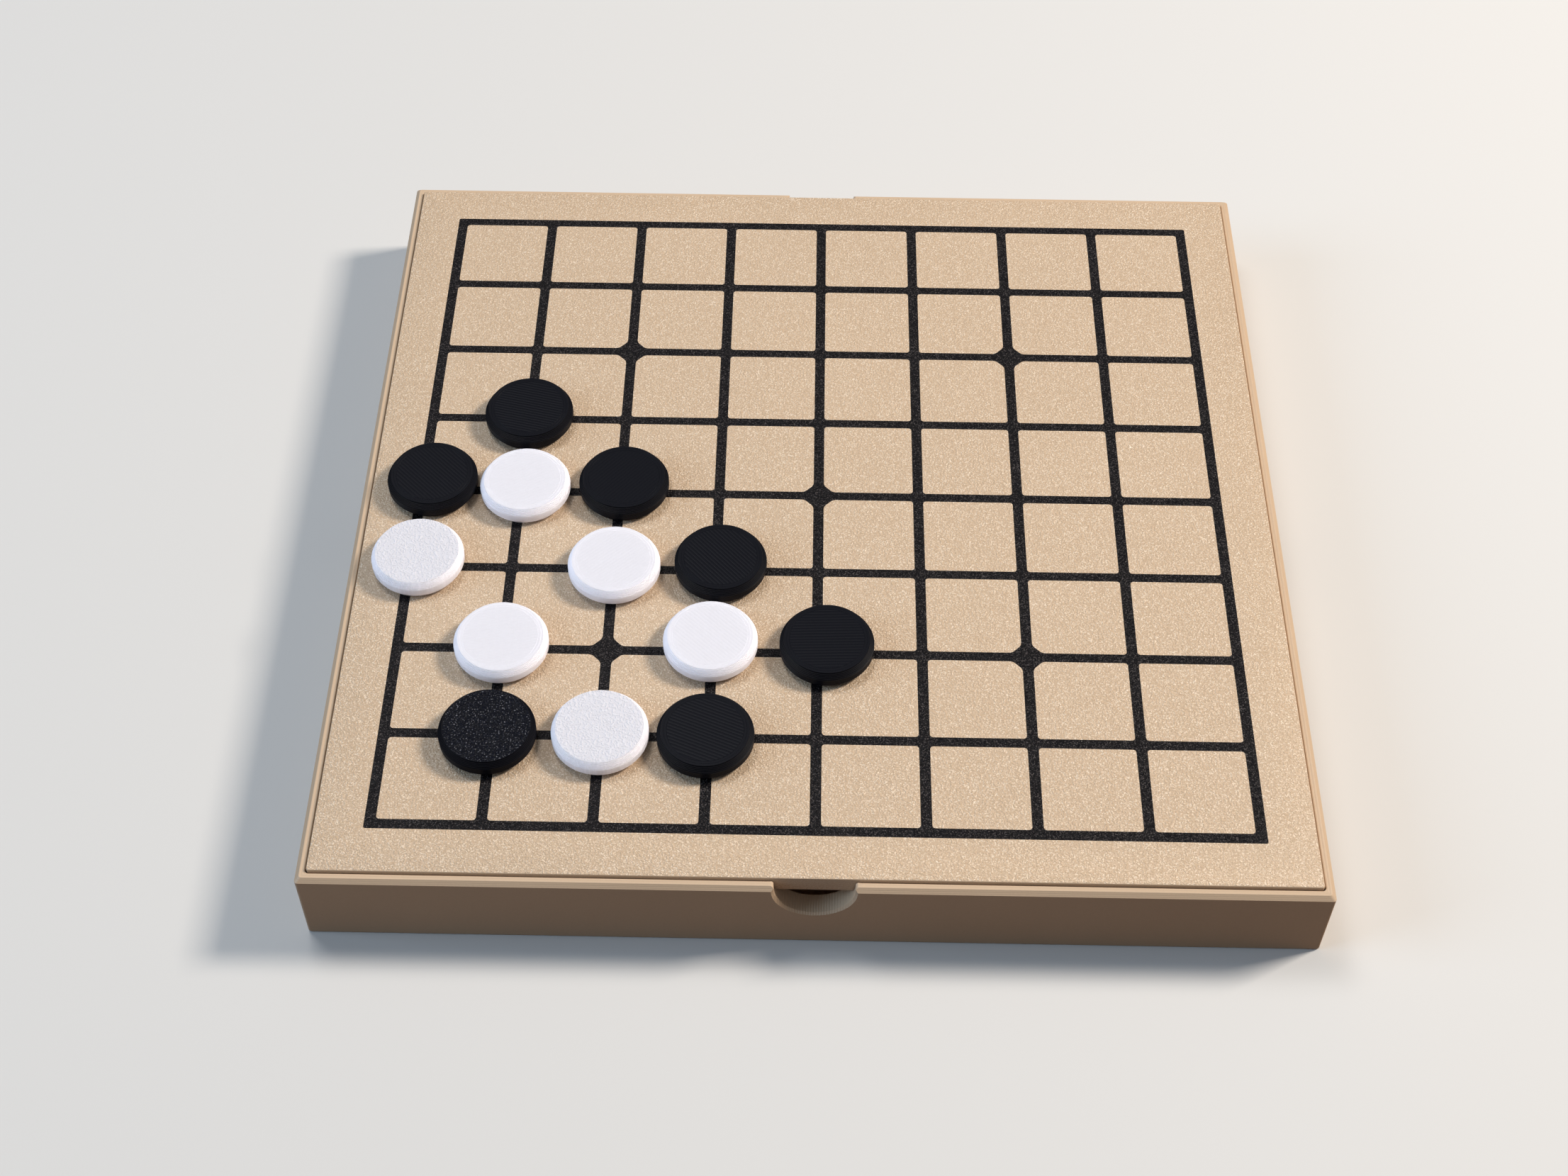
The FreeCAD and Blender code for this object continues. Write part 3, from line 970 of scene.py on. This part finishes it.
def stone_finish(name, colour, rough, specular, grained, glints_painted=False, light_enters=False):
    """Plastic of a stone, with the grained face or the nozzle's track on its level faces."""
    finish, tree, shader = new_finish(name)
    uv = add_node(tree, "UVMap", {}, uv_map="from_above").outputs["UV"]
    flat = add_node(tree, "VectorMath", {0: uv, "Scale": MM}, operation="SCALE").outputs["Vector"]
    place = tree.nodes.new("ShaderNodeTexCoord").outputs["Object"]
    upward, downward = facing(tree)
    from_middle = add_node(tree, "VectorMath", {0: flat}, operation="LENGTH").outputs["Value"]
    inside = maths(tree, "LESS_THAN", from_middle, face_edge - LAYER_GROOVE)
    level = maths(tree, "MULTIPLY", maths(tree, "MAXIMUM", upward, downward), inside)
    if grained:
        pattern, crest, _ = bed_grain(tree, flat, STONE_GRAIN_HEIGHT, fine_share=0.5)
    else:
        across = add_node(tree, "SeparateXYZ", {"Vector": flat}).outputs["Y"]
        within_rings = maths(tree, "LESS_THAN", from_middle, face_edge - 2 * BEAD)
        pattern = maths(tree, "MULTIPLY", beads(tree, across, STONE_ROW, STONE_ROW_HEIGHT), within_rings)
        crest = cloud(tree, place, LINED_CLOUD)
    fine = maths(tree, "MULTIPLY", cloud(tree, place, FINE_CLOUD), FINE_HEIGHT)
    height = maths(tree, "ADD", maths(tree, "MULTIPLY", level, pattern), fine)
    # On grained faces the crests are painted a little lighter and the hollows darker, as painted shade; on
    # lined faces the change follows a random cloud of tone.
    tone = shaded(tree, colour, crest, 0.03)
    if glints_painted:
        tone = paint_stone_glints(tree, tone, crest, flat, level)
    wire(tree, tone, shader.inputs["Base Color"])
    gloss = between(tree, crest, rough + 0.08, rough)
    wire(tree, blend(tree, level, SIDE_ROUGHNESS, gloss), shader.inputs["Roughness"])
    wire(tree, bumped(tree, height), shader.inputs["Normal"])
    shader.inputs["Specular IOR Level"].default_value = specular
    if light_enters:
        let_light_in(tree, shader, level)
    return finish


stone_plastics = {
    ("black", True): stone_finish("black_stone_grained", STONE_BLACK, 0.16, 0.09, True, glints_painted=True),
    ("black", False): stone_finish("black_stone_lined", STONE_BLACK, 0.4, 0.14, False),
    ("white", True): stone_finish("white_stone_grained", WHITE, 0.45, 0.4, True, light_enters=True),
    ("white", False): stone_finish("white_stone_lined", WHITE, 0.45, 0.4, False, light_enters=True),
}
print(len(stone_plastics), "finishes for the stones")

# %% Put the finishes on
for piece, finish in (
        (case_shell, case_plastic), (board_top, board_plastic), (board_lines, line_plastic),
        (right_tray, drawer_plastic), (left_tray, drawer_plastic)):
    piece.data.materials.clear()
    piece.data.materials.append(finish)
for node, stone in stones_in_play.items():
    stone.data.materials.clear()
    stone.data.materials.append(stone_plastics[node.split("_")[0], node in GRAIN_UP])
stored_black.data.materials.append(stone_plastics["black", True])
stored_white.data.materials.append(stone_plastics["white", True])

# %% [markdown]
# ## Joining the frame
#
# Each finished piece rides on the body of the plain piece that it stands for, so it moves when that body
# moves. The plain piece is hidden.

# %% Ride and replace
def stand_for(piece, body, slot, *nodes):
    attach(piece, body)
    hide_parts(*nodes)


stand_for(case_shell, "case", "case_plastic", "case")
stand_for(board_top, "board", "board_plastic", "board_plate")
stand_for(board_lines, "board", "line_plastic", "grid_inlay")
stand_for(right_tray, "right_drawer", "drawer_plastic", "right_drawer")
stand_for(left_tray, "left_drawer", "drawer_plastic", "left_drawer")
stand_for(stored_black, "right_drawer", "black_stone", "black_stones_in_right_drawer")
stand_for(stored_white, "left_drawer", "white_stone", "white_stones_in_left_drawer")
for node, stone in stones_in_play.items():
    stand_for(stone, node, node.split("_")[0] + "_stone", node)

# %% [markdown]
# ## The studio
#
# A pale floor, a dim even sky and three soft lamps. The main lamp stands high on the right, a little behind
# the set, so that it rakes across the grain and gives each stone a short shadow. A second one looks down
# from behind. A large cool lamp on the left, a little to the front, gives the white stones their round
# look. The floor shows the camera a paler colour than the one it throws back at the set, because a real
# table is darker, and the front wall would look washed out over a white one. The lamps don't reach far, so
# a floor lit by them alone would turn dark towards the horizon. To the camera's rays it fades into the
# colour of the sky instead.

# %% Floor and sky
SKY = (0.93, 0.96, 1.0, 1)
SKY_STRENGTH = 0.9              # as the camera sees it
SKY_LIGHT = 0.16                # as it lights the set
FLOOR_COLOUR = (0.74, 0.73, 0.72, 1)
FLOOR_LIGHT = (0.15, 0.085, 0.055, 1)    # the colour that it throws back at the set
FLOOR_SIZE = 6                  # metres
FADE_START, FADE_END = 0.32, 1.0         # metres from the middle of the set
deselect_all()
bpy.ops.mesh.primitive_plane_add(size=FLOOR_SIZE)
floor = bpy.context.object
floor.name = "floor"
pale, tree, shader = new_finish("pale_floor")
seen = tree.nodes.new("ShaderNodeLightPath").outputs["Is Camera Ray"]
wire(tree, mix_colours(tree, seen, FLOOR_LIGHT, FLOOR_COLOUR), shader.inputs["Base Color"])
shader.inputs["Roughness"].default_value = 0.7
place = tree.nodes.new("ShaderNodeTexCoord").outputs["Object"]
distance = add_node(tree, "VectorMath", {0: place}, operation="LENGTH")
fade = add_node(tree, "MapRange", {
    "Value": distance.outputs["Value"], "From Min": FADE_START, "From Max": FADE_END},
    interpolation_type="SMOOTHSTEP")
haze = add_node(tree, "Emission", {"Color": SKY, "Strength": SKY_STRENGTH})
faded_floor = add_node(tree, "MixShader", {
    "Fac": maths(tree, "MULTIPLY", fade.outputs["Result"], seen),
    1: shader.outputs["BSDF"], 2: haze.outputs["Emission"]})
wire(tree, faded_floor.outputs["Shader"], tree.nodes["Material Output"].inputs["Surface"])
floor.data.materials.append(pale)

scene = bpy.context.scene
scene.world = bpy.data.worlds.new("studio")
scene.world.use_nodes = True
sky = scene.world.node_tree
background = sky.nodes["Background"]
background.inputs["Color"].default_value = SKY
seen = sky.nodes.new("ShaderNodeLightPath").outputs["Is Camera Ray"]
wire(sky, between(sky, seen, SKY_LIGHT, SKY_STRENGTH), background.inputs["Strength"])
scene.view_settings.view_transform = "Standard"


# %% Lamps
def add_lamp(name, place, size, watts, colour):
    """A square lamp that looks at the middle of the set."""
    deselect_all()
    bpy.ops.object.light_add(type="AREA", location=place)
    lamp = bpy.context.object
    lamp.name = name
    lamp.data.size = size
    lamp.data.energy = watts
    lamp.data.color = colour
    lamp.rotation_euler = (-Vector(place)).to_track_quat("-Z", "Y").to_euler()
    print(name, "stands", round(Vector(place).length, 2), "m from the set")


add_lamp("key_lamp", (0.90, 0.26, 0.87), size=0.26, watts=14.6, colour=(1.0, 0.91, 0.80))
add_lamp("top_lamp", (-0.30, 0.36, 1.14), size=0.40, watts=3.9, colour=(1.0, 1.0, 1.0))
add_lamp("cool_lamp", (-1.45, -0.28, 0.80), size=0.80, watts=10.0, colour=(0.52, 0.75, 1.0))

# %% Camera
CAMERA_PLACE = Vector((-2.79, -242.41, 289.12)) * MM
CAMERA_TURN = (39.092, -0.294, 0.993)    # degrees about X, Y and Z
LENS = 52.18                             # millimetres, over a sensor 36 wide
deselect_all()
bpy.ops.object.camera_add(location=CAMERA_PLACE, rotation=[radians(angle) for angle in CAMERA_TURN])
camera = bpy.context.object
camera.data.lens = LENS
camera.data.sensor_width = 36
camera.data.clip_start = 0.01
scene.camera = camera
print(f"camera {CAMERA_PLACE.length / MM:.0f} mm from the set's middle")
